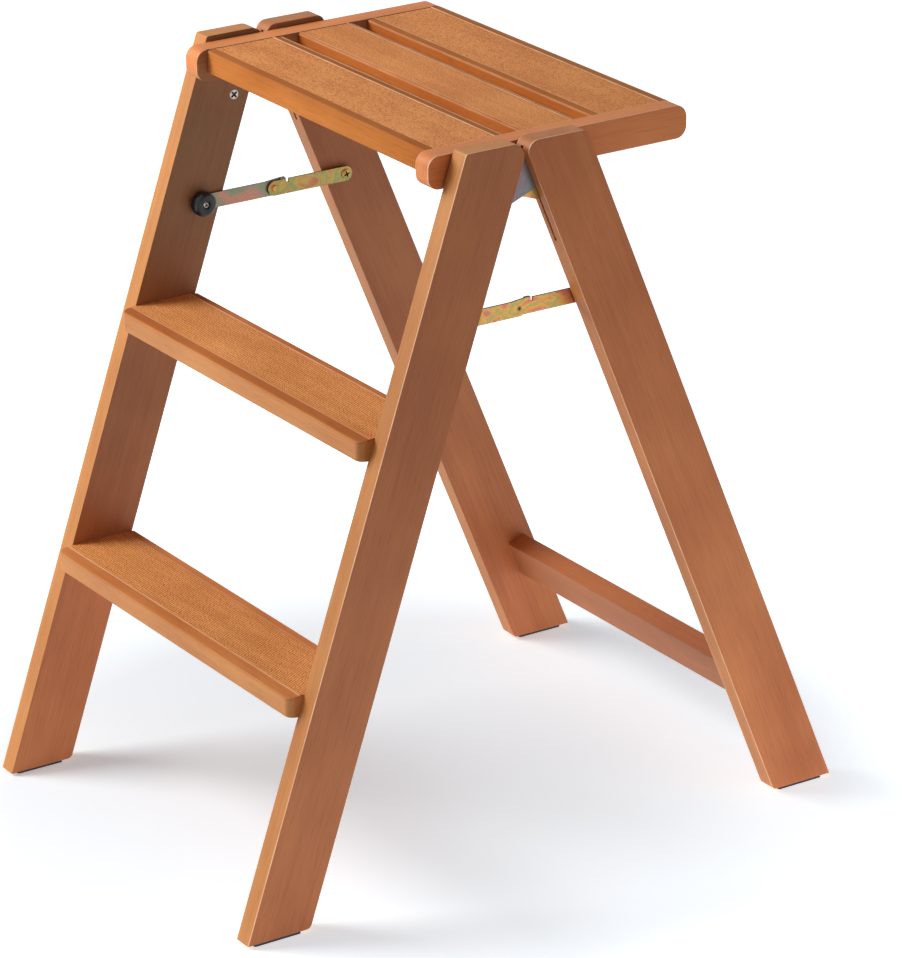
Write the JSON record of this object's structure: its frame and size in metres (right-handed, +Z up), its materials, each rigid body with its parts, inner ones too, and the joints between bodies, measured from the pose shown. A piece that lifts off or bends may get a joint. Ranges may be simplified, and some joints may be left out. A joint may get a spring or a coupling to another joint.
{
  "type": "step ladder",
  "caption": "Folding wooden step ladder with flat treads, a slatted top platform, a hinged rear frame and folding metal stays.",
  "frame": {"origin": "on the floor under the middle of the open ladder", "axes": "+Z up, -Y the side that is climbed, +X to the right of someone who looks along +Y"},
  "size_m": [0.452, 0.6312, 0.68],
  "materials": {
    "stained_wood": "semi-matte reddish brown stain, with fine anti-slip texture on the treads and slats",
    "yellow_zinc_steel": "yellow passivated zinc plate, slightly iridescent",
    "bright_steel": "bright zinc plate",
    "black_rubber": "matte black"
  },
  "bodies": {
    "front_frame": {"left_stile": "stained_wood", "left_stile_pad": "black_rubber", "left_stile_hinge_plate": "yellow_zinc_steel", "left_stile_lower_plate_screw": "bright_steel", "left_hinge_pin": "bright_steel", "left_platform_spacer": "bright_steel", "left_stay_front_screw": "bright_steel", "left_bumper": "black_rubber", "right_stile": "stained_wood", "right_stile_pad": "black_rubber", "right_stile_hinge_plate": "yellow_zinc_steel", "right_stile_lower_plate_screw": "bright_steel", "right_hinge_pin": "bright_steel", "right_platform_spacer": "bright_steel", "right_stay_front_screw": "bright_steel", "right_bumper": "black_rubber", "lower_tread": "stained_wood", "upper_tread": "stained_wood", "left_lower_tread_front_dowel": "stained_wood", "left_lower_tread_rear_dowel": "stained_wood", "right_lower_tread_front_dowel": "stained_wood", "right_lower_tread_rear_dowel": "stained_wood", "left_upper_tread_front_dowel": "stained_wood", "left_upper_tread_rear_dowel": "stained_wood", "right_upper_tread_front_dowel": "stained_wood", "right_upper_tread_rear_dowel": "stained_wood"},
    "rear_frame": {"left_rear_leg": "stained_wood", "left_leg_pad": "black_rubber", "left_leg_hinge_plate": "yellow_zinc_steel", "left_leg_lower_plate_screw": "bright_steel", "left_leg_upper_plate_screw": "bright_steel", "left_rest_peg": "bright_steel", "left_stay_spacer": "bright_steel", "left_stay_rear_screw": "bright_steel", "right_rear_leg": "stained_wood", "right_leg_pad": "black_rubber", "right_leg_hinge_plate": "yellow_zinc_steel", "right_leg_lower_plate_screw": "bright_steel", "right_leg_upper_plate_screw": "bright_steel", "right_rest_peg": "bright_steel", "right_stay_spacer": "bright_steel", "right_stay_rear_screw": "bright_steel", "rear_stretcher": "stained_wood"},
    "platform": {"left_rail": "stained_wood", "left_platform_bolt": "bright_steel", "right_rail": "stained_wood", "right_platform_bolt": "bright_steel", "front_slat": "stained_wood", "middle_slat": "stained_wood", "rear_slat": "stained_wood"},
    "left_front_link": {"left_front_link": "yellow_zinc_steel"},
    "left_rear_link": {"left_rear_link": "yellow_zinc_steel", "left_knee_rivet": "bright_steel"},
    "right_front_link": {"right_front_link": "yellow_zinc_steel"},
    "right_rear_link": {"right_rear_link": "yellow_zinc_steel", "right_knee_rivet": "bright_steel"}
  },
  "joints": [
    {"name": "fold", "type": "hinge", "parent": "front_frame", "child": "rear_frame", "pos_m": [0, -0.0184, 0.66503], "axis": [-1, 0, 0], "range_deg": [0, 41]},
    {"name": "platform_lift", "type": "hinge", "parent": "front_frame", "child": "platform", "pos_m": [0, -0.05471, 0.6605], "axis": [1, 0, 0], "range_deg": [0, 70.8]},
    {"name": "left_front_stay", "type": "hinge", "parent": "front_frame", "child": "left_front_link", "pos_m": [-0.204, -0.09219, 0.5235], "axis": [1, 0, 0], "range_deg": [0, 49.5]},
    {"name": "left_rear_stay", "type": "hinge", "parent": "rear_frame", "child": "left_rear_link", "pos_m": [-0.204, 0.06281, 0.5235], "axis": [-1, 0, 0], "range_deg": [0, 56]},
    {"name": "right_front_stay", "type": "hinge", "parent": "front_frame", "child": "right_front_link", "pos_m": [0.204, -0.09219, 0.5235], "axis": [1, 0, 0], "range_deg": [0, 49.5]},
    {"name": "right_rear_stay", "type": "hinge", "parent": "rear_frame", "child": "right_rear_link", "pos_m": [0.204, 0.06281, 0.5235], "axis": [-1, 0, 0], "range_deg": [0, 56]}
  ],
  "couplings": [
    {"joint": "left_front_stay", "follows": "fold", "ratio": 1.1938},
    {"joint": "left_rear_stay", "follows": "fold", "ratio": 1.3519},
    {"joint": "right_front_stay", "follows": "fold", "ratio": 1.1938},
    {"joint": "right_rear_stay", "follows": "fold", "ratio": 1.3519}
  ]
}
